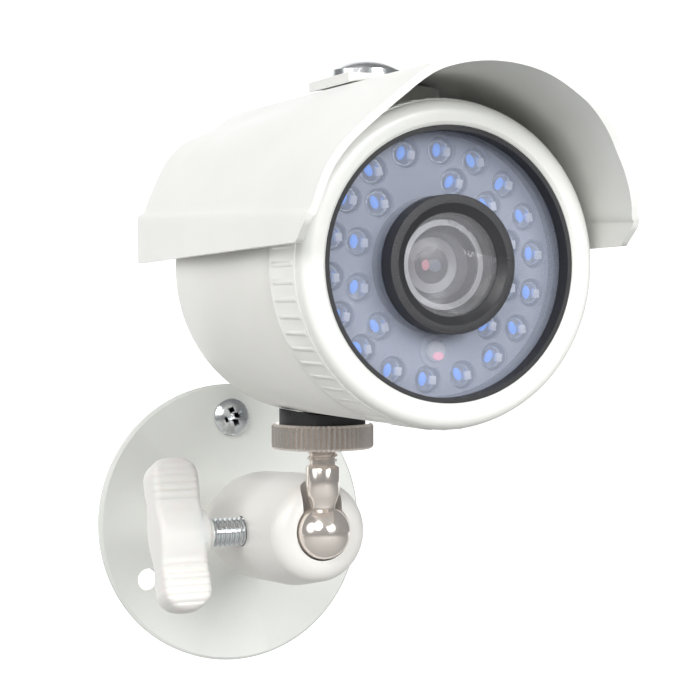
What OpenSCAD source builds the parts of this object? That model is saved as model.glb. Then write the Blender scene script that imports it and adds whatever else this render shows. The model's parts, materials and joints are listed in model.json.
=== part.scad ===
// Bullet security camera with a sliding sun shield on a ball-joint wall bracket.
// The wall is the plane y = 0, the camera looks along -Y, and +Z is up.
// The origin is the middle of the wall plate's back face.

/* [Wall plate] */
// Radius of the wall plate
plate_r = 31; // [29:0.5:40]
// Thickness of the wall plate
plate_t = 2; // [1.6:0.1:3]
// Diameter of the circle that the fixing holes lie on
plate_pcd = 47; // [40:1:50]
// Radius of each fixing hole
plate_hole_r = 2.4; // [2:0.1:2.6]

/* [Bracket arm] */
// Distance from the wall to the middle of the ball
ball_y = 52; // [48:1:64]
// Largest radius of the arm
arm_r = 11.6; // [11:0.1:13]
// Radius of the arm's foot on the plate
arm_foot_r = 7.2; // [6:0.1:8]
// Radius of the ball
ball_r = 5.5; // [5:0.1:6]
// Clear width of the slot that the stud swings in
slot_w = 8.4; // [8:0.1:9]

/* [Ball stud and lock nut] */
// Radius of the stud's 1/4 inch thread
stud_r = 3.175; // [3:0.005:3.3]
// Radius of the knurled lock nut
nut_r = 10.2; // [9:0.1:12]
// Height of the lock nut
nut_h = 5; // [3.5:0.1:5.2]
// Number of knurls around the lock nut
nut_knurls = 56; // [40:1:70]
// Radius of the rubber washer on the nut
washer_r = 8.6; // [7:0.1:9]
// Forward lean of the stud at rest, in degrees
rest_tilt = 4; // [0:1:8]

/* [Clamp knob] */
// Radius of the clamp screw
clamp_r = 3; // [2.5:0.1:3.2]
// Length of the wing knob from tip to tip
knob_len = 31.5; // [26:0.5:38]
// Width of the knob's wings along the screw
knob_w = 10; // [9:0.5:12]
// Thickness of the knob's wings
wing_t = 8; // [6:0.5:9]
// Bare thread between the arm and the knob
knob_gap = 8.5; // [6:0.5:10]

/* [Camera body] */
// Outer radius of the barrel
barrel_r = 28.5; // [27:0.5:36]
// Wall of the barrel
barrel_wall = 2.2; // [1.8:0.1:3]
// Height of the barrel's underside above the ball
under_h = 23.9; // [23.9:0.1:30]
// Distance from the stud forward to the front face
front_l = 56.2; // [52:0.1:68]
// Distance from the stud back to the end of the barrel
rear_l = 8; // [7:0.5:16]
// Length of the front cap
cap_l = 13.9; // [13:0.1:16]
// Number of grip ribs around the front cap
cap_ribs = 60; // [40:2:72]

/* [Window and light ring] */
// Width of the front cap's face around the window
bezel_w = 4.7; // [4.5:0.1:5.2]
// Depth of the window behind the front face
window_depth = 3.7; // [3:0.1:4]
// Thickness of the window
window_t = 1.8; // [1.5:0.1:2]
// Depth of the light ring's face plate behind the front face
face_depth = 7.4; // [7:0.1:7.6]
// Radius of an infrared LED
led_r = 2.5; // [2:0.1:2.55]
// Radius of the outer circle of LEDs
led_outer_r = 20; // [19.6:0.1:20.4]
// Radius of the inner circle of LEDs
led_inner_r = 15; // [14.8:0.1:15.1]

/* [Lens] */
// Outer radius of the rubber shroud around the lens
shroud_r = 12; // [11.8:0.1:12.1]
// Radius of the lens cover glass
lens_cover_r = 8.9; // [8.6:0.1:9]
// Radius of the lens barrel's thread
lens_thread_r = 6; // [5.5:0.1:6.2]

/* [Sun shield] */
// How much larger the shield's outer radius is than the barrel's
shield_space = 2.8; // [2.7:0.1:6]
// Thickness of the sun shield
shield_t = 1.3; // [1:0.1:1.6]
// Height of the shield's centre of curvature above the optical axis
shield_rise = 2.8; // [2.6:0.1:4]
// How far the shield's brow stands out past the front face
shield_front = 15.5; // [10:0.5:22]
// How far the shield's back edge stands out past the barrel
shield_rear = 13; // [8:0.5:16]
// Travel of the shield either way along the barrel
shield_travel = 6; // [4:0.5:8]

/* [Hidden] */

$fn = 64;
fit = 0.05;
gap = 0.3;
eps = 0.01;

// Bracket
hole_angles = [90, 210, 330];
seat_r = ball_r + gap;
arm_front = ball_y + 0.5;
arm_head_r = arm_r - 1.3;
arm_head_edge = 4.2;
clamp_y = ball_y - 16;
clamp_spot = 0.4;
hub_r = 5;
knob_lean = 16;
arm_rivet_r = 2.5;
arm_rivet_l = 14;
arm_rivet_head_r = 5;
screw_head_r = 4.1;

// Stud, measured up from the middle of the ball
shank_z = 7.3;
thread_z = 13.6;
nut_z = 16.8;
nut_clear = 0.06;
washer_z = nut_z + nut_h + fit;
washer_h = 3.2;
boss_r = 5.4;
insert_r = 4.3;
axis_h = barrel_r + under_h;
stud_top = under_h + 6;
thread_pitch = 1.27;

// Camera, measured forward from the stud along the optical axis
face_z = front_l;
seam_z = face_z - cap_l;
rear_z = -rear_l;
barrel_in = barrel_r - barrel_wall;
lip_r = barrel_r - bezel_w;
spigot_r = barrel_in + 0.7;
spigot_in = barrel_in - 0.8;
spigot_l = 4;
edge_r = 2.2;
rear_edge = 2;
window_z = face_z - window_depth - window_t;
window_r = lip_r + 0.85;
cap_bore_r = window_r + fit;
face_z0 = face_z - face_depth;
face_t = 1.2;
board_t = 1.6;
led_h = 8.2;
board_z = window_z - 0.3 - led_h;
outer_leds_n = 18;
outer_leds_a = 6;
inner_leds_a = [15, 45, 75, 135, 165, 195, 225, 315, 345];
sensor_r = 1.9;

// Lens stack
cover_z = face_z - 2.7;
cover_t = 1.5;
lens_ring_z = face_z - 4.6;
lens_head_r = 8;
lens_head_l = 9;
lens_z0 = 22;
holder_z = 18;
holder_l = 14;
sensor_board_z = holder_z - board_t;
power_board_z = 6;
board_half = 16;
spacer_at = 13;

// Rear
cover_t_rear = 2;
seal_t = 0.6;
rear_cover_z = rear_z + 0.4;
ledge_z = rear_cover_z + cover_t_rear;
rear_screw_at = barrel_in - 3;
gland_r = 5;
gland_bore_r = 2.1;
gland_l = 7;

// Shield
rail_w = 12;
rail_l = 50;
rail_front_z = face_z - 17;
shield_r = barrel_r + shield_space;
shield_top = shield_rise + shield_r;
rail_roof_r = shield_r - shield_t - gap - 0.1;
shield_screw_z = face_z - 35.8;
shield_screw_r = 2;
shield_slot_w = 5;
lip_w = 1.2;
crease_h = 10.4;
lip_top_h = 9;
lip_low_h = 1.3;
pad_t = 1.3;
pad_w = 15.2;
pad_l = 18.8;
shield_steps = 96;
groove_depth = 0.5;

// ---- Placing -------------------------------------------------------------

module at_ball() {
  translate([0, -ball_y, 0]) children();
}

// The stud's own frame: origin at the ball, +Z up the stud
module on_stud() {
  at_ball() rotate([rest_tilt, 0, 0]) children();
}

// The optical frame: +Z looks forward, +Y is up, origin above the stud
module on_optics() {
  on_stud() translate([0, 0, axis_h]) rotate([90, 0, 0]) children();
}

module tube(r_out, r_in, z0, z1) {
  translate([0, 0, z0]) difference() {
    cylinder(r = r_out, h = z1 - z0);
    translate([0, 0, -1]) cylinder(r = r_in, h = z1 - z0 + 2);
  }
}

module rod(r, z0, z1) {
  translate([0, 0, z0]) cylinder(r = r, h = z1 - z0);
}

// A solid of revolution with a row of ridges, as a thread looks from outside
module ridged_rod(r, depth, pitch, z0, z1) {
  count = floor((z1 - z0) / pitch);
  points = concat(
    [[0, z0], [r - depth, z0]],
    [for (i = [0 : count - 1], s = [0, 1])
      [s == 0 ? r - depth : r, z0 + (i + 0.25 + 0.5 * s) * pitch]],
    [[r - depth, z1], [0, z1]]
  );
  rotate_extrude() polygon(points);
}

module cross_recess(size, depth) {
  for (a = [0, 90]) rotate([0, 0, a])
    translate([-size / 2, -size / 9, -depth]) cube([size, size / 4.5, depth + 1]);
}

// A pan-head screw, head up, with its head's underside at z = 0
module pan_screw(head_r, head_h, shank_r, shank_l) {
  difference() {
    union() {
      rotate_extrude() intersection() {
        translate([0, head_h - head_r * 1.35]) circle(r = head_r * 1.35);
        square([head_r, head_h]);
      }
      translate([0, 0, -shank_l]) cylinder(r = shank_r, h = shank_l + eps);
    }
    translate([0, 0, head_h]) cross_recess(head_r * 1.2, head_h * 0.62);
  }
}

// ---- Bracket -------------------------------------------------------------

module wall_plate() {
  color("whitesmoke") rotate([90, 0, 0]) difference() {
    union() {
      cylinder(r = plate_r, h = plate_t - 0.6);
      translate([0, 0, plate_t - 0.6]) cylinder(r1 = plate_r, r2 = plate_r - 0.6, h = 0.6);
    }
    for (a = hole_angles) rotate([0, 0, a])
      translate([plate_pcd / 2, 0, -1]) cylinder(r = plate_hole_r, h = plate_t + 2);
    translate([0, 0, -1]) cylinder(r = arm_rivet_r + 0.2, h = plate_t + 2);
    translate([0, 0, -eps]) cylinder(r1 = arm_rivet_head_r + 0.1, r2 = arm_rivet_r + 0.2, h = plate_t);
  }
}

// Rivet from behind the plate into the arm, its head flush with the plate
module arm_rivet() {
  color("silver") rotate([90, 0, 0]) {
    cylinder(r1 = arm_rivet_head_r, r2 = arm_rivet_r, h = plate_t - 0.1);
    cylinder(r = arm_rivet_r, h = arm_rivet_l);
  }
}

module wall_screw() {
  color("silver") rotate([90, 0, 0]) rotate([0, 0, hole_angles[0]])
    translate([plate_pcd / 2, 0, plate_t + fit])
      pan_screw(screw_head_r, 2.4, plate_hole_r - 0.35, plate_t);
}

module arm_outline() {
  // Half outline of the arm: foot, swelling body, rounded head
  body_y = 17;
  polygon(concat(
    [[0, plate_t], [arm_foot_r, plate_t], [arm_foot_r, plate_t + 3.2]],
    [for (a = [-90 : 15 : 0])
      [arm_foot_r + (arm_r - arm_foot_r) * cos(a), body_y + 5 + (body_y - plate_t - 3.2) * sin(a)]],
    [[arm_r, clamp_y + 3]],
    [for (a = [0 : 15 : 90])
      [arm_head_r - arm_head_edge * (1 - cos(a)), arm_front - arm_head_edge * (1 - sin(a))]],
    [[0, arm_front]]
  ));
}

module bracket_arm() {
  color("whitesmoke") difference() {
    rotate([90, 0, 0]) rotate_extrude() arm_outline();
    at_ball() sphere(r = seat_r);
    at_ball() rotate([90, 0, 0]) cylinder(r = seat_r, h = 10);
    // Slot for the stud, open at the front and the top
    translate([-slot_w / 2, -ball_y - 10, 0]) cube([slot_w, 10, arm_r + 2]);
    at_ball() cylinder(r = slot_w / 2, h = arm_r + 2);
    // Bore for the clamp screw
    translate([-arm_r - 2, -clamp_y, 0]) rotate([0, 90, 0]) cylinder(r = clamp_r + 0.1, h = 2 * arm_r + 4);
    // Pocket for the clamp screw's nut
    translate([arm_r - 5, -clamp_y, 0]) rotate([0, 90, 0]) cylinder(r = 5.7, h = 8, $fn = 6);
    // Spot face under the knob
    translate([-arm_r - 3, -clamp_y, 0]) rotate([0, 90, 0]) cylinder(r = 4.6, h = 3 + clamp_spot);
    rotate([90, 0, 0]) cylinder(r = arm_rivet_r + fit, h = arm_rivet_l + 0.5);
  }
}

module ball_stud() {
  color("silver") on_stud() {
    sphere(r = ball_r);
    rod(2.6, 3, shank_z);
    translate([0, 0, shank_z - 1.6]) cylinder(r1 = 2.6, r2 = stud_r + 0.2, h = 1.6);
    rod(stud_r + 0.2, shank_z, thread_z - 0.5);
    translate([0, 0, thread_z - 0.5]) cylinder(r1 = stud_r + 0.2, r2 = stud_r - 0.4, h = 0.5);
    ridged_rod(stud_r, 0.45, thread_pitch, thread_z, stud_top);
  }
}

module knurl_outline(r, n, depth) {
  polygon([for (i = [0 : n - 1], s = [0 : 3])
    let (a = (i + s / 4) * 360 / n, rr = (s == 0 || s == 3) ? r - depth : r)
      [rr * cos(a), rr * sin(a)]]);
}

module lock_nut() {
  color("silver") on_stud() translate([0, 0, nut_z]) difference() {
    union() {
      translate([0, 0, 0.5]) linear_extrude(nut_h - 1) knurl_outline(nut_r, nut_knurls, 0.35);
      cylinder(r = nut_r - 0.8, h = nut_h);
    }
    translate([0, 0, -1]) cylinder(r = stud_r + nut_clear, h = nut_h + 2);
  }
}

// Rubber washer, its top hollowed to the barrel's curve
module lock_washer() {
  color("black") on_stud() difference() {
    tube(washer_r, stud_r + nut_clear, washer_z, washer_z + washer_h);
    translate([0, 2 * washer_r, axis_h]) rotate([90, 0, 0])
      cylinder(r = barrel_r + gap, h = 4 * washer_r, $fn = 256);
  }
}

module on_clamp() {
  translate([0, -clamp_y, 0]) rotate([0, -90, 0]) children();
}

knob_x = arm_r + knob_gap;
nut_x = arm_r - 4.6;

// Threaded pin moulded into the knob, seen along +Z pointing out to the knob
module clamp_screw() {
  color("silver") on_clamp() translate([0, 0, -arm_r + 0.8])
    ridged_rod(clamp_r, 0.35, 1, 0, knob_x + arm_r - 0.8 + 5);
}

// Nut let into the far side of the arm
module clamp_nut() {
  color("silver") on_clamp() mirror([0, 0, 1]) translate([0, 0, nut_x]) difference() {
    cylinder(r = 5.55, h = 3.6, $fn = 6);
    translate([0, 0, -1]) cylinder(r = clamp_r + nut_clear, h = 6);
  }
}

// Side of the knob's two wings: a plate with rounded tips
module wing_outline() {
  corner = 4.2;
  reach = knob_len / 2 - corner;
  side = knob_w / 2 - corner;
  turns = [[1, 1, 0], [-1, 1, 90], [-1, -1, 180], [1, -1, 270]];
  polygon([for (t = turns, a = [0 : 15 : 90])
    [t[0] * reach + corner * cos(t[2] + a), t[1] * side + corner * sin(t[2] + a)]]);
}

// Two-winged knob, leaning at rest with its top wing towards the wall
module wing_knob() {
  rib_d = 0.4;
  color("white") on_clamp() rotate([0, 0, knob_lean]) difference() {
    union() {
      translate([0, 0, knob_x + knob_w / 2]) rotate([90, 0, 0]) {
        translate([0, 0, -wing_t / 2]) linear_extrude(wing_t) wing_outline();
        for (s = [-1, 1], i = [0 : 3])
          translate([s * (knob_len / 2 - 4.3 - i * 1.6) - 0.4, -3.2, -wing_t / 2 - rib_d])
            cube([0.8, 6.4, wing_t + 2 * rib_d]);
      }
      rod(hub_r, knob_x - 0.6, knob_x + knob_w + 0.5);
    }
    rod(clamp_r + nut_clear, knob_x - 2, knob_x + 5.2);
  }
}

// ---- Camera body ---------------------------------------------------------

// Half section of the barrel: rounded back edge, threaded spigot, ledge for the rear cover
module barrel_section() {
  polygon(concat(
    [[barrel_in, rear_z]],
    [for (a = [-90 : 15 : 0])
      [barrel_r - rear_edge + rear_edge * cos(a), rear_z + rear_edge + rear_edge * sin(a)]],
    [[barrel_r, seam_z - 0.3], [spigot_r, seam_z - 0.3], [spigot_r, seam_z + spigot_l],
      [spigot_in, seam_z + spigot_l], [spigot_in, seam_z - 3], [barrel_in, seam_z - 4],
      [barrel_in, ledge_z + 2], [barrel_in - 1.6, ledge_z + 2], [barrel_in - 1.6, ledge_z],
      [barrel_in, ledge_z]]
  ));
}

module at_rear_screws() {
  for (a = [90, 210, 330]) rotate([0, 0, a]) translate([rear_screw_at, 0, 0]) children();
}

module barrel() {
  color("whitesmoke") on_optics() difference() {
    union() {
      rotate_extrude() barrel_section();
      // Boss inside the barrel that the stud screws into
      rotate([90, 0, 0]) rod(boss_r, barrel_r - 7, barrel_r - 1);
      at_rear_screws() rod(3.2, ledge_z, ledge_z + 6);
    }
    rotate([90, 0, 0]) rod(insert_r + fit, barrel_r - 8, barrel_r - 1.2);
    rotate([90, 0, 0]) rod(stud_r + 0.1, barrel_r - 9, barrel_r + 10);
    at_rear_screws() rod(1.3, ledge_z - 1, ledge_z + 5);
  }
}

// Brass thread insert in the foot
module mount_insert() {
  color("goldenrod") on_optics() rotate([90, 0, 0])
    tube(insert_r, stud_r + fit, barrel_r - 6.8, barrel_r - 1.25);
}

module shield_rail() {
  color("whitesmoke") on_optics() difference() {
    intersection() {
      translate([-rail_w / 2, 0, rail_front_z - rail_l]) cube([rail_w, shield_top, rail_l]);
      translate([0, shield_rise, rail_front_z - rail_l - 1]) cylinder(r = rail_roof_r, h = rail_l + 2, $fn = 256);
    }
    translate([0, 0, rail_front_z - rail_l - 1]) cylinder(r = barrel_r + fit, h = rail_l + 2, $fn = 256);
    translate([0, 0, shield_screw_z]) rotate([-90, 0, 0]) rod(shield_screw_r + fit, barrel_r - 2, shield_top);
  }
}

module cap_outer() {
  rib_z0 = seam_z + 1.6;
  rib_z1 = face_z - 3.4;
  rod(barrel_r, seam_z, face_z - edge_r - 0.6);
  translate([0, 0, rib_z0]) linear_extrude(rib_z1 - rib_z0)
    for (i = [0 : cap_ribs - 1]) rotate([0, 0, i * 360 / cap_ribs])
      translate([barrel_r - 0.5, -0.45]) square([0.62, 0.9]);
  rotate_extrude() union() {
    translate([barrel_r - edge_r - 0.3, face_z - edge_r]) circle(r = edge_r);
    translate([0, face_z - edge_r - 1]) square([barrel_r - 0.3, 1]);
    translate([0, face_z - edge_r - eps]) square([barrel_r - edge_r - 0.3, edge_r + eps]);
  }
}

module front_cap() {
  color("whitesmoke") on_optics() difference() {
    cap_outer();
    rod(spigot_r + fit, seam_z - 1, seam_z + spigot_l + 0.1);
    rod(cap_bore_r, seam_z - 1, window_z + window_t + fit);
    rod(lip_r, window_z, face_z - 0.59);
    translate([0, 0, face_z - 0.6]) cylinder(r1 = lip_r, r2 = lip_r + 0.61, h = 0.61);
  }
}

module window_seal() {
  color("black") on_optics() tube(lip_r - fit, lip_r - 0.85, window_z + window_t + fit, face_z - 0.7);
}

module window() {
  color([0.7, 0.8, 0.9, 0.35]) on_optics() tube(window_r, shroud_r + fit, window_z, window_z + window_t);
}

module light_baffle() {
  color("black") on_optics() tube(window_r, lip_r - 0.9, face_z0 + fit, window_z - fit);
}

// Places of the LEDs on the light ring
module at_leds(outer) {
  if (outer)
    for (i = [0 : outer_leds_n - 1]) rotate([0, 0, outer_leds_a + i * 360 / outer_leds_n])
      translate([led_outer_r, 0, 0]) children();
  else
    for (a = inner_leds_a) rotate([0, 0, a]) translate([led_inner_r, 0, 0]) children();
}

module at_sensor() {
  translate([0, -led_inner_r, 0]) children();
}

module face_plate() {
  color("silver") on_optics() difference() {
    tube(window_r, shroud_r + fit, face_z0 - face_t, face_z0);
    at_leds(true) rod(led_r + fit, face_z0 - face_t - 1, face_z0 + 1);
    at_leds(false) rod(led_r + fit, face_z0 - face_t - 1, face_z0 + 1);
    at_sensor() rod(sensor_r + fit, face_z0 - face_t - 1, face_z0 + 1);
  }
}

module light_frame() {
  color("dimgray") on_optics()
    tube(window_r, led_outer_r + led_r + 0.6, board_z + board_t + fit, face_z0 - face_t - fit);
}

module led_board() {
  color("darkgreen") on_optics() tube(spigot_in - fit, lens_head_r + 0.6, board_z, board_z + board_t);
}

module led() {
  rod(led_r, board_z + board_t + fit, window_z - 0.3 - led_r);
  translate([0, 0, window_z - 0.3 - led_r]) sphere(r = led_r);
}

module outer_leds() {
  color("lightsteelblue") on_optics() at_leds(true) led();
}

module inner_leds() {
  color("lightsteelblue") on_optics() at_leds(false) led();
}

module light_sensor() {
  color("mistyrose") on_optics() at_sensor() rod(sensor_r, board_z + board_t + fit, window_z - 0.6);
}

module lens_shroud() {
  color("black") on_optics() difference() {
    rod(shroud_r, board_z + board_t + fit, face_z - 0.1);
    rod(lens_head_r + 0.3, board_z - 1, cover_z + eps);
    rod(lens_cover_r + fit, cover_z, face_z + 1);
    translate([0, 0, face_z - 1]) cylinder(r1 = lens_cover_r + fit, r2 = lens_cover_r + 1.4, h = 0.91);
  }
}

module lens_cover() {
  color([0.8, 0.85, 0.9, 0.35]) on_optics() rod(lens_cover_r, cover_z + fit, cover_z + fit + cover_t);
}

module lens_ring() {
  color("gray") on_optics() tube(lens_head_r - 0.2, lens_head_r - 1.2, lens_ring_z, lens_ring_z + 0.6);
}

module front_element() {
  color([0.6, 0.65, 0.8, 0.35]) on_optics() intersection() {
    rod(lens_head_r - 2.1, lens_ring_z - 4.5, lens_ring_z);
    translate([0, 0, lens_ring_z - 15.4]) sphere(r = 15);
  }
}

module lens_barrel() {
  color("black") on_optics() difference() {
    union() {
      rod(lens_head_r, lens_ring_z - lens_head_l, lens_ring_z - fit);
      ridged_rod(lens_thread_r, 0.25, 0.5, lens_z0, lens_ring_z - lens_head_l + 1);
    }
    rod(lens_head_r - 2, lens_ring_z - 4.55, lens_ring_z + 1);
    translate([0, 0, lens_ring_z - 1.9]) cylinder(r1 = lens_head_r - 2, r2 = lens_head_r - 1.2, h = 2);
    rod(3, lens_z0 - 1, lens_ring_z);
  }
}

module lens_holder() {
  color("black") on_optics() difference() {
    union() {
      translate([-9, -9, holder_z]) cube([18, 18, 5]);
      rod(8, holder_z, holder_z + holder_l);
    }
    rod(lens_thread_r + fit, lens_z0 - 0.5, holder_z + holder_l + 1);
    translate([-5.5, -5.5, holder_z - 1]) cube([11, 11, lens_z0 - holder_z + 0.5]);
  }
}

module image_sensor() {
  color("darkslategray") on_optics() translate([-4.5, -4.5, holder_z + fit]) cube([9, 9, 1.4]);
}

module board(z) {
  difference() {
    translate([-board_half, -board_half, z]) cube([2 * board_half, 2 * board_half, board_t]);
    for (x = [-1, 1], y = [-1, 1]) translate([x * spacer_at, y * spacer_at, 0])
      rod(1.1, z - 1, z + board_t + 1);
  }
}

module sensor_board() {
  color("darkgreen") on_optics() board(sensor_board_z);
}

module power_board() {
  color("darkgreen") on_optics() board(power_board_z);
}

module board_spacers() {
  color("goldenrod") on_optics() for (x = [-1, 1], y = [-1, 1])
    translate([x * spacer_at, y * spacer_at, 0])
      tube(2, 1.1, power_board_z + board_t, sensor_board_z);
}

module front_spacers() {
  color("goldenrod") on_optics() for (x = [-1, 1], y = [-1, 1])
    translate([x * spacer_at, y * spacer_at, 0])
      tube(2, 1.1, holder_z, board_z);
}

module rear_cover() {
  color("whitesmoke") on_optics() difference() {
    rod(barrel_in - fit, rear_cover_z, ledge_z - seal_t);
    at_rear_screws() rod(1.7, rear_cover_z - 1, rear_cover_z + cover_t_rear + 1);
    rod(gland_r - 1.2 + fit, rear_cover_z - 1, rear_cover_z + cover_t_rear + 1);
  }
}

module rear_seal() {
  color("black") on_optics()
    tube(barrel_in - fit, barrel_in - 1.4, ledge_z - seal_t + eps, ledge_z - eps);
}

module rear_screws() {
  color("silver") on_optics() at_rear_screws() translate([0, 0, rear_cover_z - fit])
    mirror([0, 0, 1])
      pan_screw(2.3, 0.9, 1.2, cover_t_rear + 4);
}

// Rubber gland that the lead would leave by
module cable_gland() {
  color("dimgray") on_optics() difference() {
    union() {
      translate([0, 0, rear_cover_z - gland_l]) cylinder(r1 = gland_r - 1.8, r2 = gland_r, h = gland_l - fit);
      rod(gland_r - 1.2, rear_cover_z - 1, rear_cover_z + cover_t_rear + 1);
    }
    rod(gland_bore_r, rear_cover_z - gland_l - 1, rear_cover_z + cover_t_rear + 2);
  }
}

// ---- Sun shield ----------------------------------------------------------

// Outer radius of the shield at an angle from straight up: shallow grooves flank the middle
function shield_at(a, inset) =
  let (away = abs(a), dip = away > 6 && away < 48 ? sin((away - 6) / 42 * 180) : 0)
    shield_r - inset - groove_depth * dip * dip;

module shield_profile() {
  edge_a = acos((crease_h - shield_rise) / shield_r);
  lip_x = shield_r * sin(edge_a) + lip_w;
  arc = function(inset) [for (i = [0 : shield_steps])
    let (a = -edge_a + 2 * edge_a * i / shield_steps)
      [shield_at(a, inset) * sin(a), shield_rise + shield_at(a, inset) * cos(a)]];
  inner = arc(shield_t);
  polygon(concat(
    [[-lip_x, -4], [-lip_x, lip_top_h - 0.4], [-lip_x + 0.4, lip_top_h + 0.3]],
    arc(0),
    [[lip_x - 0.4, lip_top_h + 0.3], [lip_x, lip_top_h - 0.4], [lip_x, -4], [lip_x - shield_t, -4],
      [lip_x - shield_t, lip_top_h - 1.4]],
    [for (i = [shield_steps : -1 : 0]) inner[i]],
    [[-lip_x + shield_t, lip_top_h - 1.4], [-lip_x + shield_t, -4]]
  ));
}

// Side view of what is kept of the shield: swept brow, level back, lip rising to the front
module shield_side() {
  brow = face_z + shield_front;
  back = rear_z - shield_rear;
  top = shield_rise + shield_r + 3;
  polygon([
    [back, lip_low_h], [back, top], [brow, top], [brow - 0.6, top - 6], [brow - 4.2, 20],
    [brow - 5.6, crease_h], [brow - 8, 6.5], [brow - 11.5, lip_low_h + 2]
  ]);
}

module sun_shield() {
  slot_half = shield_travel;
  color("whitesmoke") on_optics() difference() {
    intersection() {
      translate([0, 0, rear_z - shield_rear - 1])
        linear_extrude(face_z - rear_z + shield_front + shield_rear + 2) shield_profile();
      rotate([0, -90, 0]) translate([0, 0, -shield_r - 5]) linear_extrude(2 * shield_r + 10) shield_side();
    }
    translate([0, 0, shield_screw_z]) rotate([-90, 0, 0]) {
      for (s = [-1, 1]) translate([0, s * slot_half, 0]) rod(shield_slot_w / 2, barrel_r, shield_top + 2);
      translate([-shield_slot_w / 2, -slot_half, barrel_r]) cube([shield_slot_w, 2 * slot_half, 12]);
    }
  }
}

// Painted clamp plate under the shield screw, covering the slot
module slot_plate() {
  color("whitesmoke") on_optics() difference() {
    translate([-pad_w / 2, shield_top - 3, shield_screw_z - pad_l / 2]) cube([pad_w, 3 + pad_t, pad_l]);
    translate([0, shield_rise, shield_screw_z - pad_l]) cylinder(r = shield_r + gap, h = 2 * pad_l, $fn = 256);
    translate([0, 0, shield_screw_z]) rotate([-90, 0, 0]) rod(shield_screw_r + fit, barrel_r, shield_top + 4);
  }
}

module shield_screw() {
  color("silver") on_optics() translate([0, shield_top + pad_t + fit, shield_screw_z])
    rotate([-90, 0, 0]) pan_screw(7, 3.4, shield_screw_r, shield_top + pad_t - barrel_r - gap);
}

wall_plate();
arm_rivet();
wall_screw();
bracket_arm();
ball_stud();
lock_nut();
lock_washer();
clamp_screw();
clamp_nut();
wing_knob();
barrel();
mount_insert();
shield_rail();
front_cap();
window_seal();
window();
light_baffle();
face_plate();
light_frame();
led_board();
outer_leds();
inner_leds();
light_sensor();
lens_shroud();
lens_cover();
lens_ring();
front_element();
lens_barrel();
lens_holder();
image_sensor();
sensor_board();
front_spacers();
board_spacers();
power_board();
rear_cover();
rear_seal();
rear_screws();
cable_gland();
sun_shield();
slot_plate();
shield_screw();
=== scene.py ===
# Bullet security camera on its ball-joint wall bracket: finishes, fine parts, studio light and camera.
import json
import math

import bmesh
import bpy
from mathutils import Matrix, Vector


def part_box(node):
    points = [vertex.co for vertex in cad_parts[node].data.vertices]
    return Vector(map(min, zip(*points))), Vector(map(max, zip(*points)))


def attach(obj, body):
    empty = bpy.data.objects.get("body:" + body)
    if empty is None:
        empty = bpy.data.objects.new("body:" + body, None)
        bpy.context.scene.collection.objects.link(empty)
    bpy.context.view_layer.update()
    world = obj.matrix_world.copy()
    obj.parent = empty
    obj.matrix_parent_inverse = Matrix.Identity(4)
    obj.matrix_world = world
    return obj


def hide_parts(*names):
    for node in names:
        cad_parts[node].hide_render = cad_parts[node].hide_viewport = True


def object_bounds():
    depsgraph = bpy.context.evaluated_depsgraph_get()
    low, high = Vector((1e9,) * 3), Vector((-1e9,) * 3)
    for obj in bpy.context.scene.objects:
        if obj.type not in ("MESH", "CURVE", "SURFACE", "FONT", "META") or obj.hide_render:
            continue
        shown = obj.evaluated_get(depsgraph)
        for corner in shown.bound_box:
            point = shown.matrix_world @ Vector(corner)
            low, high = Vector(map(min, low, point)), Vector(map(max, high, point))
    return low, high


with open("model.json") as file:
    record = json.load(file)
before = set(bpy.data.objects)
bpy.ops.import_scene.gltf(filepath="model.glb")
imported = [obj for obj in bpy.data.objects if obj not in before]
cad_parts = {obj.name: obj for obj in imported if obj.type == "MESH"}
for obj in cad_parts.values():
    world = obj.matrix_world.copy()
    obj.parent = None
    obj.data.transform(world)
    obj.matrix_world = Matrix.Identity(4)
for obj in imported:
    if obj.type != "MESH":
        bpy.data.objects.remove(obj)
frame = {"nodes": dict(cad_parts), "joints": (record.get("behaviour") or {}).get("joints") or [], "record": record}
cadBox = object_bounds()
scene = bpy.context.scene
scene.view_settings.view_transform = "Standard"
print("frame loaded:", len(frame["nodes"]), "nodes")

mm = 0.001
fullTurn = 2 * math.pi

# where things are

joints = {j["name"]: j for j in frame["joints"]}
sideways = Vector((1, 0, 0))
ballPoint = Vector(joints["tilt"]["pos_m"])
studUp = Vector(joints["pan"]["axis"]).normalized()
lookAlong = Vector(joints["shield_slide"]["axis"]).normalized()
knobOut = Vector(joints["clamp_travel"]["axis"]).normalized()


def middleOf(node):
    low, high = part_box(node)
    return (low + high) / 2


def placeAt(origin, x, y, z):
    # millimetres along three axes become metres in the row frame
    turn = Matrix((x, y, z)).transposed().to_4x4()
    return Matrix.Translation(origin) @ turn @ Matrix.Scale(mm, 4)


coverToFace = 1.9
faceCentre = middleOf("lens_cover") + lookAlong * coverToFace * mm
onStud = placeAt(ballPoint, sideways, studUp.cross(sideways), studUp)
onOptics = placeAt(faceCentre, sideways, studUp, lookAlong)
clampPoint = Vector((0, middleOf("clamp_screw").y, middleOf("clamp_screw").z))
onClamp = placeAt(clampPoint, Vector((0, 0, 1)), Vector((0, 1, 0)), knobOut)
onWall = placeAt(Vector((0, 0, 0)), sideways, Vector((0, 0, 1)), Vector((0, -1, 0)))

# shared shading effects


def newGroup(name, inputs, outputs):
    group = bpy.data.node_groups.new(name, "ShaderNodeTree")
    for label, kind, value in inputs:
        socket = group.interface.new_socket(name=label, in_out="INPUT", socket_type=kind)
        socket.default_value = value
    for label, kind in outputs:
        group.interface.new_socket(name=label, in_out="OUTPUT", socket_type=kind)
    start = group.nodes.new("NodeGroupInput")
    end = group.nodes.new("NodeGroupOutput")
    return group, start, end


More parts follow.
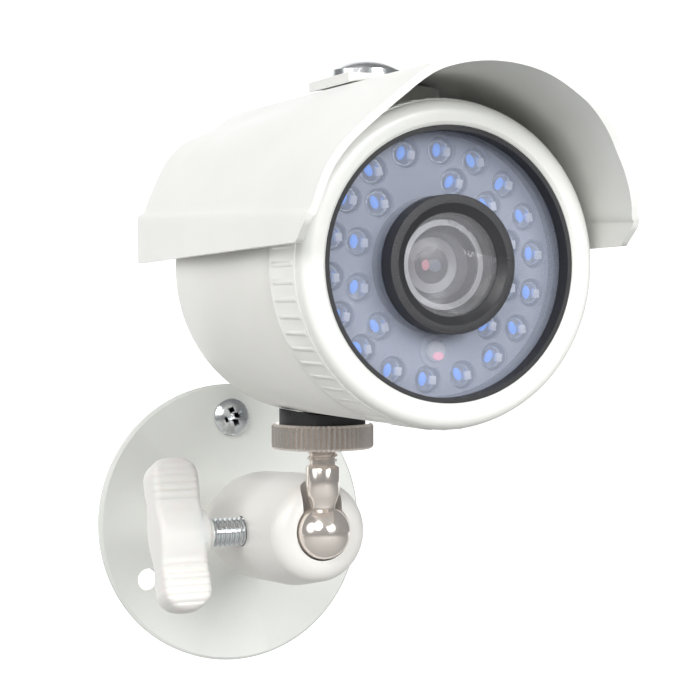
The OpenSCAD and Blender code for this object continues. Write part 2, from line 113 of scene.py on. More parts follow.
def addNode(tree, kind, links=None, **settings):
    node = tree.nodes.new(kind)
    for key, value in settings.items():
        setattr(node, key, value)
    for key, value in (links or {}).items():
        if isinstance(value, bpy.types.NodeSocket):
            tree.links.new(value, node.inputs[key])
        else:
            node.inputs[key].default_value = value
    return node


def makeGrainGroup():
    # fine skin of a coating or a moulding: a height, and a slow and a fast variation
    group, start, end = newGroup(
        "coatSkin",
        [
            ("Grain", "NodeSocketFloat", 1500.0),
            ("Patch", "NodeSocketFloat", 45.0),
            ("Stretch", "NodeSocketVector", (1, 1, 1)),
        ],
        [("Height", "NodeSocketFloat"), ("Slow", "NodeSocketFloat"), ("Specks", "NodeSocketFloat")],
    )
    where = addNode(group, "ShaderNodeTexCoord")
    stretch = addNode(
        group,
        "ShaderNodeVectorMath",
        {0: where.outputs["Object"], 1: start.outputs["Stretch"]},
        operation="MULTIPLY",
    )
    fine = addNode(
        group,
        "ShaderNodeTexNoise",
        {"Vector": stretch.outputs[0], "Scale": start.outputs["Grain"], "Detail": 3.0, "Roughness": 0.55},
    )
    slow = addNode(
        group,
        "ShaderNodeTexNoise",
        {
            "Vector": where.outputs["Object"],
            "Scale": start.outputs["Patch"],
            "Detail": 4.0,
            "Roughness": 0.6,
        },
    )
    dots = addNode(
        group, "ShaderNodeTexVoronoi", {"Vector": where.outputs["Object"], "Scale": 420.0}, feature="F1"
    )
    speck = addNode(
        group,
        "ShaderNodeMapRange",
        {
            "Value": dots.outputs["Distance"],
            "From Min": 0.02,
            "From Max": 0.09,
            "To Min": 1.0,
            "To Max": 0.0,
        },
    )
    group.links.new(fine.outputs["Fac"], end.inputs["Height"])
    group.links.new(slow.outputs["Fac"], end.inputs["Slow"])
    group.links.new(speck.outputs["Result"], end.inputs["Specks"])
    return group


coatSkin = makeGrainGroup()


def newMaterial(name, **sockets):
    material = bpy.data.materials.new(name)
    material.use_nodes = True
    shader = material.node_tree.nodes["Principled BSDF"]
    for key, value in sockets.items():
        shader.inputs[key.replace("_", " ")].default_value = value
    return material, material.node_tree, shader


def skinNode(tree, grain, patch, stretch):
    node = tree.nodes.new("ShaderNodeGroup")
    node.node_tree = coatSkin
    node.inputs["Grain"].default_value = grain
    node.inputs["Patch"].default_value = patch
    node.inputs["Stretch"].default_value = stretch
    return node


def blendColours(tree, factor, first, second):
    mix = tree.nodes.new("ShaderNodeMix")
    mix.data_type = "RGBA"
    tree.links.new(factor, mix.inputs["Factor"])
    for key, value in ((6, first), (7, second)):
        if isinstance(value, bpy.types.NodeSocket):
            tree.links.new(value, mix.inputs[key])
        else:
            mix.inputs[key].default_value = (*value, 1)
    return mix.outputs[2]


def coated(
    name, light, shade, rough, grain=1500.0, bump=0.12, patch=45.0, stretch=(1, 1, 1), speck=None, **sockets
):
    # a coating or plastic whose tint, gloss and skin all vary a little
    material, tree, shader = newMaterial(name, **sockets)
    skin = skinNode(tree, grain, patch, stretch)
    colour = blendColours(tree, skin.outputs["Slow"], light, shade)
    if speck:
        fade = addNode(tree, "ShaderNodeMath", {0: skin.outputs["Specks"], 1: 0.35}, operation="MULTIPLY")
        colour = blendColours(tree, fade.outputs[0], colour, speck)
    tree.links.new(colour, shader.inputs["Base Color"])
    gloss = addNode(
        tree,
        "ShaderNodeMapRange",
        {
            "Value": skin.outputs["Slow"],
            "From Min": 0.3,
            "From Max": 0.7,
            "To Min": rough[0],
            "To Max": rough[1],
        },
    )
    tree.links.new(gloss.outputs["Result"], shader.inputs["Roughness"])
    relief = addNode(
        tree, "ShaderNodeBump", {"Height": skin.outputs["Height"], "Strength": bump, "Distance": 0.0002}
    )
    tree.links.new(relief.outputs["Normal"], shader.inputs["Normal"])
    return material


whitePaint = coated(
    "whitePaint", (0.79, 0.79, 0.765), (0.74, 0.74, 0.71), (0.30, 0.40), bump=0.10, speck=(0.62, 0.62, 0.59)
)
capPaint = coated(
    "capPaint",
    (0.81, 0.815, 0.79),
    (0.77, 0.775, 0.745),
    (0.26, 0.36),
    grain=1900.0,
    bump=0.08,
    speck=(0.66, 0.66, 0.63),
)
platePaint = coated(
    "platePaint",
    (0.76, 0.775, 0.745),
    (0.70, 0.715, 0.685),
    (0.34, 0.48),
    grain=1300.0,
    bump=0.14,
    speck=(0.55, 0.56, 0.53),
)
armPaint = coated(
    "armPaint", (0.79, 0.775, 0.745), (0.73, 0.715, 0.685), (0.28, 0.38), bump=0.1, speck=(0.6, 0.59, 0.56)
)
shieldPaint = coated(
    "shieldPaint",
    (0.80, 0.805, 0.78),
    (0.75, 0.755, 0.725),
    (0.27, 0.37),
    grain=1700.0,
    bump=0.08,
    speck=(0.64, 0.64, 0.6),
)
whiteMoulding = coated(
    "whiteMoulding",
    (0.80, 0.79, 0.77),
    (0.75, 0.74, 0.715),
    (0.34, 0.46),
    grain=900.0,
    bump=0.05,
    Subsurface_Weight=0.12,
    Subsurface_Scale=0.002,
)
blackRubber = coated(
    "blackRubber", (0.012, 0.012, 0.014), (0.024, 0.024, 0.027), (0.5, 0.7), grain=2600.0, bump=0.5
)
shroudRubber = coated(
    "shroudRubber", (0.022, 0.022, 0.026), (0.034, 0.034, 0.038), (0.42, 0.56), grain=3200.0, bump=0.75
)
blackPlastic = coated(
    "blackPlastic", (0.016, 0.016, 0.019), (0.028, 0.028, 0.032), (0.3, 0.45), grain=1800.0, bump=0.2
)
blackMetal = coated(
    "blackMetal",
    (0.02, 0.02, 0.023),
    (0.035, 0.035, 0.04),
    (0.24, 0.36),
    grain=1800.0,
    bump=0.1,
    Metallic=0.6,
)
greyPlate = coated(
    "greyPlate", (0.42, 0.435, 0.49), (0.35, 0.365, 0.42), (0.4, 0.55), grain=1400.0, bump=0.12
)
boardMask = coated("boardMask", (0.02, 0.09, 0.05), (0.015, 0.06, 0.035), (0.3, 0.5), grain=700.0, bump=0.1)


def plated(name, light, shade, rough, grain=700.0, stretch=(1, 1, 1), bump=0.08, patch=120.0, metal=1.0):
    # plated metal: bright, with a cloudy tint and faint tool marks
    material, tree, shader = newMaterial(name, Metallic=metal)
    skin = skinNode(tree, grain, patch, stretch)
    tree.links.new(blendColours(tree, skin.outputs["Slow"], light, shade), shader.inputs["Base Color"])
    gloss = addNode(
        tree,
        "ShaderNodeMapRange",
        {
            "Value": skin.outputs["Slow"],
            "From Min": 0.3,
            "From Max": 0.75,
            "To Min": rough[0],
            "To Max": rough[1],
        },
    )
    tree.links.new(gloss.outputs["Result"], shader.inputs["Roughness"])
    relief = addNode(
        tree, "ShaderNodeBump", {"Height": skin.outputs["Height"], "Strength": bump, "Distance": 0.0002}
    )
    tree.links.new(relief.outputs["Normal"], shader.inputs["Normal"])
    return material


nickel = plated("nickel", (0.92, 0.87, 0.82), (0.74, 0.67, 0.62), (0.10, 0.2), metal=0.82)
zinc = plated("zinc", (0.80, 0.82, 0.83), (0.62, 0.65, 0.67), (0.16, 0.3), grain=900.0, bump=0.12)
brass = plated("brass", (0.72, 0.56, 0.27), (0.6, 0.45, 0.2), (0.2, 0.35))
lensRingMetal = plated("lensRingMetal", (0.62, 0.63, 0.66), (0.5, 0.5, 0.53), (0.25, 0.4), bump=0.05)


def clearPiece(name, tint, alpha, rough):
    material, tree, shader = newMaterial(name, Alpha=alpha, IOR=1.5, Specular_IOR_Level=0.6)
    skin = skinNode(tree, 300.0, 60.0, (1, 1, 1))
    tree.links.new(
        blendColours(tree, skin.outputs["Slow"], tint, tuple(0.92 * c for c in tint)),
        shader.inputs["Base Color"],
    )
    gloss = addNode(
        tree,
        "ShaderNodeMapRange",
        {
            "Value": skin.outputs["Slow"],
            "From Min": 0.3,
            "From Max": 0.7,
            "To Min": rough,
            "To Max": rough + 0.05,
        },
    )
    tree.links.new(gloss.outputs["Result"], shader.inputs["Roughness"])
    return material


windowGlass = clearPiece("windowGlass", (0.50, 0.55, 0.68), 0.30, 0.03)
# the grey veils of the lens cover and the front lens, partly opaque, are painted reflections
coverGlassReflectionVeil = clearPiece("coverGlassReflectionVeil", (0.44, 0.44, 0.47), 0.24, 0.10)
lensGlassReflectionVeil = clearPiece("lensGlassReflectionVeil", (0.26, 0.26, 0.30), 0.38, 0.12)
ledResin = clearPiece("ledResin", (0.40, 0.44, 0.55), 0.14, 0.06)
ringResin = clearPiece("ringResin", (0.80, 0.82, 0.86), 0.42, 0.12)
# the LEDs are off: the glow of their posts and chips is a painted glint
ledPostPaintedGlint = coated(
    "ledPostPaintedGlint",
    (0.86, 0.87, 0.90),
    (0.72, 0.74, 0.80),
    (0.25, 0.4),
    grain=900.0,
    bump=0.1,
    Emission_Color=(0.9, 0.92, 1.0, 1),
    Emission_Strength=0.2,
)
ledChipPaintedGlint = coated(
    "ledChipPaintedGlint",
    (0.05, 0.22, 0.85),
    (0.10, 0.34, 0.95),
    (0.2, 0.35),
    grain=1200.0,
    bump=0.1,
    Emission_Color=(0.06, 0.30, 1.0, 1),
    Emission_Strength=0.9,
)
# pink glow: a painted reflection in the front lens, and a glowing pink patch on the light sensor
pinkPaintedGlow = coated(
    "pinkPaintedGlow",
    (0.95, 0.32, 0.42),
    (0.85, 0.42, 0.5),
    (0.15, 0.25),
    grain=1200.0,
    bump=0.02,
    Emission_Color=(1.0, 0.35, 0.45, 1),
    Emission_Strength=0.55,
)
# blue blob in the front lens: a painted reflection
bluePaintedGlint = coated("bluePaintedGlint", (0.35, 0.45, 0.62), (0.45, 0.55, 0.7), (0.15, 0.25), grain=1200.0, bump=0.02)
sensorResin = coated(
    "sensorResin", (0.86, 0.80, 0.78), (0.74, 0.80, 0.76), (0.12, 0.25), grain=900.0, bump=0.05
)

nodeFinish = {
    "wall_plate": platePaint, "arm_rivet": zinc, "wall_screw": zinc, "bracket_arm": armPaint,
    "ball_stud": nickel, "lock_nut": nickel, "lock_washer": blackRubber, "clamp_screw": zinc,
    "clamp_nut": zinc, "wing_knob": whiteMoulding, "barrel": whitePaint, "mount_insert": brass,
    "shield_rail": whitePaint, "front_cap": capPaint, "window_seal": blackRubber, "window": windowGlass,
    "light_baffle": blackPlastic, "face_plate": greyPlate, "light_frame": blackPlastic,
    "led_board": boardMask, "outer_leds": ledResin, "inner_leds": ledResin, "light_sensor": sensorResin,
    "lens_shroud": shroudRubber, "lens_cover": coverGlassReflectionVeil, "lens_ring": lensRingMetal,
    "front_element": lensGlassReflectionVeil, "lens_barrel": blackMetal, "lens_holder": blackPlastic,
    "image_sensor": blackPlastic, "sensor_board": boardMask, "front_spacers": brass,
    "board_spacers": brass, "power_board": boardMask, "rear_cover": whitePaint,
    "rear_seal": blackRubber, "rear_screws": zinc, "cable_gland": blackRubber,
    "sun_shield": shieldPaint, "slot_plate": shieldPaint, "shield_screw": zinc,
}
for name, finish in nodeFinish.items():
    slots = frame["nodes"][name].data.materials
    slots.clear()
    slots.append(finish)
print("finishes made:", len(bpy.data.materials))

bodyOf = {name: body for body, names in frame["record"]["behaviour"]["bodies"].items() for name in names}


def shadeSmooth(mesh, angle):
    mesh.polygons.foreach_set("use_smooth", [True] * len(mesh.polygons))
    mesh.set_sharp_from_angle(angle=math.radians(angle))


def finishPiece(name, work, place, nodes, finishes, angle=35):
    # the working mesh becomes a piece that rides with the node it stands for
    bmesh.ops.transform(work, matrix=place, verts=work.verts)
    mesh = bpy.data.meshes.new(name)
    work.to_mesh(mesh)
    work.free()
    for finish in finishes:
        mesh.materials.append(finish)
    shadeSmooth(mesh, angle)
    piece = bpy.data.objects.new(name, mesh)
    scene.collection.objects.link(piece)
    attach(piece, bodyOf[nodes[0]])
    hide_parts(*nodes)
    return piece


def refinedNode(node, edge=0.0, angle=32):
    # a smooth-shaded copy of a node, with its sharp edges broken
    work = bmesh.new()
    work.from_mesh(frame["nodes"][node].data)
    bmesh.ops.remove_doubles(work, verts=work.verts, dist=2e-6)
    piece = finishPiece(node + "_fine", work, Matrix.Identity(4), [node], [nodeFinish[node]], angle)
    if edge:
        rounding = piece.modifiers.new("brokenEdges", "BEVEL")
        rounding.width = edge * mm
        rounding.segments = 2
        rounding.limit_method = "ANGLE"
        rounding.angle_limit = math.radians(38)
        rounding.harden_normals = False
    return piece


# shaping helpers


def spun(work, outline, steps=96, turn=fullTurn, rise=0.0, closed=False):
    # an outline of (radius, height) pairs is turned about the local Z axis
    ring = [work.verts.new((radius, 0, height)) for radius, height in outline]
    pairs = list(zip(ring, ring[1:])) + ([(ring[-1], ring[0])] if closed else [])
    edges = [work.edges.new(pair) for pair in pairs]
    whole = rise == 0.0 and turn == fullTurn
    bmesh.ops.spin(
        work,
        geom=ring + edges,
        cent=(0, 0, 0),
        axis=(0, 0, 1),
        dvec=(0, 0, rise / steps),
        angle=turn,
        steps=steps,
        use_merge=whole,
    )
    return work


def cleaned(work, gap=1e-4):
    bmesh.ops.remove_doubles(work, verts=work.verts, dist=gap)
    bmesh.ops.dissolve_degenerate(work, edges=work.edges, dist=gap)
    bmesh.ops.recalc_face_normals(work, faces=work.faces)
    return work


def turned(outline, steps=96, closed=False):
    return cleaned(spun(bmesh.new(), outline, steps, closed=closed))


def rounded(work, width, segments=2, angle=30):
    # breaks the sharp edges of a working mesh
    limit = math.radians(angle)
    sharp = [e for e in work.edges if len(e.link_faces) == 2 and e.calc_face_angle(0) > limit]
    bmesh.ops.bevel(
        work,
        geom=sharp,
        offset=width,
        affect="EDGES",
        segments=segments,
        profile=0.5,
        material=-1,
        clamp_overlap=True,
    )
    return work


def joined(work, other, place=Matrix.Identity(4), material=0):
    # adds another working mesh, placed in the first one's millimetres
    bmesh.ops.transform(other, matrix=place, verts=other.verts)
    for face in other.faces:
        face.material_index = material
    bits = bpy.data.meshes.new("bits")
    other.to_mesh(bits)
    other.free()
    work.from_mesh(bits)
    bpy.data.meshes.remove(bits)
    return work


def carved(work, cutter):
    # takes one working mesh out of another with an exact boolean
    holders = []
    for part in (work, cutter):
        mesh = bpy.data.meshes.new("carving")
        part.to_mesh(mesh)
        part.free()
        holder = bpy.data.objects.new("carving", mesh)
        scene.collection.objects.link(holder)
        holders.append(holder)
    body, tool = holders
    cut = body.modifiers.new("cut", "BOOLEAN")
    cut.operation = "DIFFERENCE"
    cut.solver = "EXACT"
    cut.object = tool
    bpy.context.view_layer.update()
    settled = bpy.data.meshes.new_from_object(body.evaluated_get(bpy.context.evaluated_depsgraph_get()))
    result = bmesh.new()
    result.from_mesh(settled)
    meshes = [body.data, tool.data, settled]
    for holder in holders:
        bpy.data.objects.remove(holder)
    for mesh in meshes:
        bpy.data.meshes.remove(mesh)
    return result


def smoothStep(value, low, high):
    share = min(1.0, max(0.0, (value - low) / (high - low)))
    return share * share * (3 - 2 * share)


def between(value, table):
    # straight-line reading of a short table of (value, result) pairs
    for (x0, y0), (x1, y1) in zip(table, table[1:]):
        if value <= x1:
            return y0 + (y1 - y0) * max(0.0, (value - x0)) / (x1 - x0)
    return table[-1][1]


# sun shield

shield = {
    "radius": 31.3, "rise": 2.8, "thickness": 1.3, "back": -77.2,
    "brow": [(3.0, 4.6), (6.5, 8.6), (10.4, 10.2), (20.0, 11.6), (28.0, 14.6), (34.2, 15.1)],
    "creaseBack": 12.0, "creaseFront": 8.9, "lipOut": 31.5, "lowBack": 1.35, "lowFront": 3.3,
    "groove": 1.0, "shoulder": 0.55, "flat": (1.3, 0.25), "slotHalf": 6.0, "slotWidth": 5.0, "slotAt": -35.8,
}


def shieldPoint(across, along):
    # across runs from -1 to 1 over the profile, along from 0 at the back to 1 at the brow
    side, share = (-1 if across < 0 else 1), abs(across)
    crease = shield["creaseBack"] + (shield["creaseFront"] - shield["creaseBack"]) * along
    edge = math.acos((crease - shield["rise"]) / shield["radius"])
    low = shield["lowBack"] + (shield["lowFront"] - shield["lowBack"]) * along
    if share <= 0.8:
        angle = edge * share / 0.8
        degrees = math.degrees(angle)
        fade = 1 - 0.85 * smoothStep(along, 0.1, 0.7)
        dip = math.cos(min(1.0, abs(degrees - 30) / 14) * math.pi / 2) ** 2
        swell = math.cos(min(1.0, abs(degrees - 50) / 15) * math.pi / 2) ** 2
        flat = math.cos(min(1.0, abs(degrees - 44) / 26) * math.pi / 2) ** 2 * smoothStep(along, 0.4, 0.95)
        radius = shield["radius"] - fade * (
            shield["groove"] * dip - shield["shoulder"] * swell
        ) - shield["flat"][side > 0] * flat
        x, y = radius * math.sin(angle), shield["rise"] + radius * math.cos(angle)
    else:
        start = shield["radius"] * math.sin(edge)
        out = shield["lipOut"] - start
        bend = [
            (0.8, 0.0, 0.0),
            (0.82, 0.18, 0.4),
            (0.84, 0.55, 0.72),
            (0.86, 0.86, 1.1),
            (0.88, 1.0, 1.8),
            (1.0, 1.0, 0.0),
        ]
        x = start + out * between(share, [(b[0], b[1]) for b in bend])
        if share <= 0.88:
            y = crease - between(share, [(b[0], b[2]) for b in bend[:5]])
        else:
            y = crease - 1.8 + (low - crease + 1.8) * (share - 0.88) / 0.12
    front = between(y, shield["brow"])
    return side * x, y, shield["back"] + (front - shield["back"]) * along


def makeShield():
    work = bmesh.new()
    bmesh.ops.create_grid(work, x_segments=100, y_segments=60, size=1)
    for vert in work.verts:
        vert.co = shieldPoint(vert.co.x, (vert.co.y + 1) / 2)
    bmesh.ops.recalc_face_normals(work, faces=work.faces)
    top = max(work.faces, key=lambda f: f.calc_center_median().y)
    if top.normal.y < 0:
        bmesh.ops.reverse_faces(work, faces=work.faces)
    bmesh.ops.solidify(work, geom=work.faces, thickness=shield["thickness"])
    cutter = bmesh.new()
    half, width = shield["slotHalf"], shield["slotWidth"] / 2
    bmesh.ops.create_circle(cutter, cap_ends=True, radius=width, segments=48)
    for vert in cutter.verts:
        vert.co.y += half if vert.co.y > 0 else -half
    lifted = bmesh.ops.extrude_face_region(cutter, geom=cutter.faces[:])
    bmesh.ops.translate(
        cutter, vec=(0, 0, 12), verts=[g for g in lifted["geom"] if isinstance(g, bmesh.types.BMVert)]
    )
    bmesh.ops.recalc_face_normals(cutter, faces=cutter.faces)
    stand = Matrix.Translation((0, 28, shield["slotAt"])) @ Matrix.Rotation(math.radians(-90), 4, "X")
    bmesh.ops.transform(cutter, matrix=stand, verts=cutter.verts)
    work = carved(work, cutter)
    piece = finishPiece("sunShield", work, onOptics, ["sun_shield"], [shieldPaint], angle=40)
    edges = piece.modifiers.new("brokenEdges", "BEVEL")
    edges.width = 0.35 * mm
    edges.segments = 3
    edges.limit_method = "ANGLE"
    edges.angle_limit = math.radians(50)
    return piece


makeShield()
print("sun shield made")

# threads, stud and lock nut


def helixThread(radius, depth, pitch, low, high, steps=40):
    # one continuous ridge wound round the core
    turns = (high - low) / pitch - 1
    work = bmesh.new()
    inner = radius - depth
    outline = [
        (inner - 0.05, low + pitch * 0.06),
        (radius - depth * 0.1, low + pitch * 0.42),
        (radius - depth * 0.1, low + pitch * 0.58),
        (inner - 0.05, low + pitch * 0.94),
    ]
    spun(work, outline, steps=int(steps * turns), turn=fullTurn * turns, rise=pitch * turns, closed=True)
    loose = [e for e in work.edges if e.is_boundary]
    bmesh.ops.holes_fill(work, edges=loose, sides=6)
    return cleaned(work, 1e-5)


stud = {
    "ball": 5.5, "neck": 2.6, "shank": 3.37, "shankLow": 7.3, "threadLow": 13.6, "thread": 3.175,
    "pitch": 1.27, "top": 29.9, "depth": 0.62,
}


def makeStud():
    ball, neck, shank = stud["ball"], stud["neck"], stud["shank"]
    joinAngle = math.asin(neck / ball)
    outline = [
        (ball * math.sin(a), -ball * math.cos(a))
        for a in [i * (math.pi - joinAngle) / 40 for i in range(41)]
    ]
    outline[0] = (0, -ball)
    low, coreTop = stud["shankLow"], stud["threadLow"]
    outline += [(neck, low - 1.9), (neck + 0.12, low - 1.6), (shank - 0.15, low - 0.15), (shank, low + 0.1)]
    outline += [
        (shank, coreTop - 0.75), (shank - 0.12, coreTop - 0.5), (stud["thread"] - stud["depth"], coreTop)
    ]
    outline += [(stud["thread"] - stud["depth"], stud["top"]), (0, stud["top"])]
    work = turned(outline, steps=72)
    joined(work, helixThread(stud["thread"], stud["depth"], stud["pitch"], coreTop, stud["top"]))
    return finishPiece("ballStud", work, onStud, ["ball_stud"], [nickel], angle=40)


lockNut = {
    "radius": 10.2, "height": 5.0, "low": 16.8, "bore": 3.24, "knurls": 58, "depth": 0.6, "chamfer": 0.45
}


def makeLockNut():
    # the knurl is a ring of rounded teeth, cut back to a chamfer at both ends
    work = bmesh.new()
    bmesh.ops.create_circle(work, cap_ends=True, radius=lockNut["radius"], segments=lockNut["knurls"] * 6)
    for vert in work.verts:
        angle = math.atan2(vert.co.y, vert.co.x)
        wave = 0.5 + 0.5 * math.cos(angle * lockNut["knurls"])
        reach = lockNut["radius"] - lockNut["depth"] * (1 - wave ** 0.6)
        vert.co = (reach * math.cos(angle), reach * math.sin(angle), 0)
    levels = [
        (0.0, -lockNut["chamfer"]),
        (lockNut["chamfer"], 0.0),
        (lockNut["height"] - lockNut["chamfer"], 0.0),
        (lockNut["height"], -lockNut["chamfer"]),
    ]
    base = work.faces[:]
    for vert in work.verts:
        vert.co.xy *= (lockNut["radius"] + levels[0][1]) / lockNut["radius"]
    for (low, shrink), (high, nextShrink) in zip(levels, levels[1:]):
        lifted = bmesh.ops.extrude_face_region(work, geom=base)
        verts = [g for g in lifted["geom"] if isinstance(g, bmesh.types.BMVert)]
        scale = (lockNut["radius"] + nextShrink) / (lockNut["radius"] + shrink)
        for vert in verts:
            vert.co = (vert.co.x * scale, vert.co.y * scale, high)
        stale = base
        base = [g for g in lifted["geom"] if isinstance(g, bmesh.types.BMFace)]
        if low > 0:
            bmesh.ops.delete(work, geom=stale, context="FACES_ONLY")
    bmesh.ops.recalc_face_normals(work, faces=work.faces)
    bore = turned([(0, -1), (lockNut["bore"], -1), (lockNut["bore"], 6), (0, 6)], steps=48)
    work = carved(work, bore)
    dish = turned([(0, -1), (7.6, -1), (7.6, 0.35), (0, 0.35)], steps=64)
    work = carved(work, dish)
    return finishPiece(
        "lockNut",
        work,
        onStud @ Matrix.Translation((0, 0, lockNut["low"])),
        ["lock_nut"],
        [nickel],
        angle=28,
    )


makeStud()
makeLockNut()
print("stud and nut made")

# clamp screw and wing knob

clamp = {"radius": 3.0, "depth": 0.5, "pitch": 1.0, "low": -10.8, "high": 25.0}


def makeClampScrew():
    core = clamp["radius"] - clamp["depth"]
    work = turned(
        [(0, clamp["low"]), (core, clamp["low"]), (core, clamp["high"]), (0, clamp["high"])], steps=48
    )
    joined(
        work,
        helixThread(clamp["radius"], clamp["depth"], clamp["pitch"], clamp["low"], clamp["high"], steps=32),
    )
    return finishPiece("clampScrew", work, onClamp, ["clamp_screw"], [zinc], angle=40)


knob = {
    "length": 31.5, "width": 10.0, "thick": 8.0, "hub": 5.0, "corner": 4.2, "tip": 2.6, "low": 20.1,
    "lean": 16.0, "ribStart": 5.9, "ribPitch": 1.55, "ribDepth": 0.3, "edge": 1.5,
}


def knobSection(x):
    # half the thickness and half the width of the knob at one station along it
    half = knob["length"] / 2
    past = max(0.0, abs(x) - (half - knob["corner"])) / knob["corner"]
    width = knob["width"] / 2 - knob["corner"] * (1 - math.sqrt(max(0.0, 1 - past * past)))
    past = max(0.0, abs(x) - (half - knob["tip"])) / knob["tip"]
    thick = knob["thick"] / 2 - knob["tip"] * (1 - math.sqrt(max(0.0, 1 - past * past)))
    thick -= 0.55 * math.cos(min(1.0, abs(abs(x) - 6.4) / 3.0) * math.pi / 2) ** 2
    thick += (knob["hub"] - knob["thick"] / 2) * math.cos(min(1.0, abs(x) / 5.6) * math.pi / 2) ** 2
    if abs(x) > knob["ribStart"]:
        wave = 0.5 - 0.5 * math.cos((abs(x) - knob["ribStart"]) * fullTurn / knob["ribPitch"])
        thick -= knob["ribDepth"] * wave ** 3 * min(1.0, width / 4)
    return thick, width


def knobRing(work, x):
    # rounded rectangle round the knob at one station
    thick, width = knobSection(x)
    edge = min(knob["edge"], thick * 0.6, width * 0.6)
    ring = []
    for quarter in range(4):
        sideY = (1, -1, -1, 1)[quarter]
        sideZ = (1, 1, -1, -1)[quarter]
        for step in range(7):
            angle = math.pi / 2 * (quarter + step / 6)
            y = sideY * (thick - edge) + edge * math.cos(angle)
            z = sideZ * (width - edge) + edge * math.sin(angle)
            ring.append(work.verts.new((x, y, z + knob["width"] / 2)))
    return ring


def makeKnob():
    work = bmesh.new()
    half = knob["length"] / 2 - 0.02
    rings = [knobRing(work, -half + 2 * half * i / 160) for i in range(161)]
    for first, second in zip(rings, rings[1:]):
        for i in range(len(first)):
            j = (i + 1) % len(first)
            work.faces.new((first[i], first[j], second[j], second[i]))
    work.faces.new(rings[0])
    work.faces.new(rings[-1])
    cleaned(work, 1e-3)
    neck = turned([(0, -0.6), (4.8, -0.6), (5.0, -0.35), (5.0, 2.0), (0, 2.0)], steps=64)
    joined(work, neck)
    high = knob["width"]
    boss = turned(
        [(0, high - 1.0), (4.9, high - 1.0), (4.9, high + 0.1), (4.55, high + 0.42), (0, high + 0.5)],
        steps=64,
    )
    joined(work, boss)
    hole = turned([(0, -2), (3.06, -2), (3.06, 5.2), (0, 5.2)], steps=48)
    work = carved(work, hole)
    turn = Matrix.Rotation(math.radians(knob["lean"]), 4, "Z")
    return finishPiece(
        "wingKnob",
        work,
        onClamp @ turn @ Matrix.Translation((0, 0, knob["low"])),
        ["wing_knob"],
        [whiteMoulding],
        angle=50,
    )


makeClampScrew()
makeKnob()
print("clamp made")

# screws


def crossHead(radius, height, recess, depth, sides=64):
    # a domed pan head with a tapered cross recess
    dome = radius * 1.35
    flat = height * 0.38
    outline = [(0, 0), (radius * 0.97, 0), (radius, 0.12), (radius, flat)]
    peak = math.asin(radius * 0.985 / dome)
    crown = [(dome * math.sin(peak * (1 - i / 14)), dome * math.cos(peak * (1 - i / 14))) for i in range(15)]
    base = crown[0][1]
    rise = (height - flat) / (dome - base)
    outline += [(r, flat + (z - base) * rise) for r, z in crown]
    outline[-1] = (0, height)
    head = turned(outline, steps=sides)
    for arm in range(2):
        cutter = bmesh.new()
        bmesh.ops.create_cube(cutter, size=1)
        for vert in cutter.verts:
            taper = 1.0 if vert.co.z > 0 else 0.62
            vert.co = (
                vert.co.x * recess * taper,
                vert.co.y * recess * 0.28 * taper,
                (vert.co.z + 0.5) * (depth + 1) + height - depth,
            )
        bmesh.ops.rotate(
            cutter,
            verts=cutter.verts,
            cent=(0, 0, 0),
            matrix=Matrix.Rotation(math.radians(90 * arm), 3, "Z"),
        )
        head = carved(head, cutter)
    middle = turned(
        [
            (0, height - depth * 1.1),
            (recess * 0.17, height - depth),
            (recess * 0.24, height + 1),
            (0, height + 1),
        ],
        steps=16,
    )
    return carved(head, middle)


screws = {
    "wallScrew": {
        "node": "wall_screw",
        "radius": 4.1,
        "height": 2.4,
        "recess": 5.2,
        "depth": 2.3,
        "shank": 2.05,
        "length": 2.0,
        "turn": 20,
    },
    "shieldScrew": {
        "node": "shield_screw",
        "radius": 6.95,
        "height": 3.35,
        "recess": 7.6,
        "depth": 2.4,
        "shank": 2.0,
        "length": 6.3,
        "turn": 62,
    },
}


def makeScrew(name, about, place):
    work = crossHead(about["radius"], about["height"], about["recess"], about["depth"])
    bmesh.ops.rotate(
        work, verts=work.verts, cent=(0, 0, 0), matrix=Matrix.Rotation(math.radians(about["turn"]), 3, "Z")
    )
    joined(
        work,
        turned(
            [(0, -about["length"]), (about["shank"], -about["length"]), (about["shank"], 0.1), (0, 0.1)],
            steps=40,
        ),
    )
    return finishPiece(name, work, place, [about["node"]], [zinc], angle=30)


makeScrew("wallScrew", screws["wallScrew"], onWall @ Matrix.Translation((0, 23.5, 2.05)))
screwSeat = onOptics @ Matrix.Translation((0, 35.45, shield["slotAt"])) @ Matrix.Rotation(
    math.radians(-90), 4, "X"
)
makeScrew("shieldScrew", screws["shieldScrew"], screwSeat)
print("screws made")

# lights, sensor and lens inside the window

ledPiece = {"radius": 2.5, "foot": -12.3, "dome": -8.3, "collar": 2.85, "face": -7.38}
ledRows = {
    "outer_leds": {"name": "outerLights", "radius": 20.0, "angles": [6 + 20 * i for i in range(18)]},
    "inner_leds": {
        "name": "innerLights", "radius": 15.0, "angles": [15, 45, 75, 135, 165, 195, 225, 315, 345]
    },
}


def blob(width, depth, height, cuts=2):
    # a rounded lump, its three sizes in millimetres
    work = bmesh.new()
    bmesh.ops.create_icosphere(work, subdivisions=cuts, radius=0.5)
    bmesh.ops.scale(work, vec=(width, depth, height), verts=work.verts)
    return work


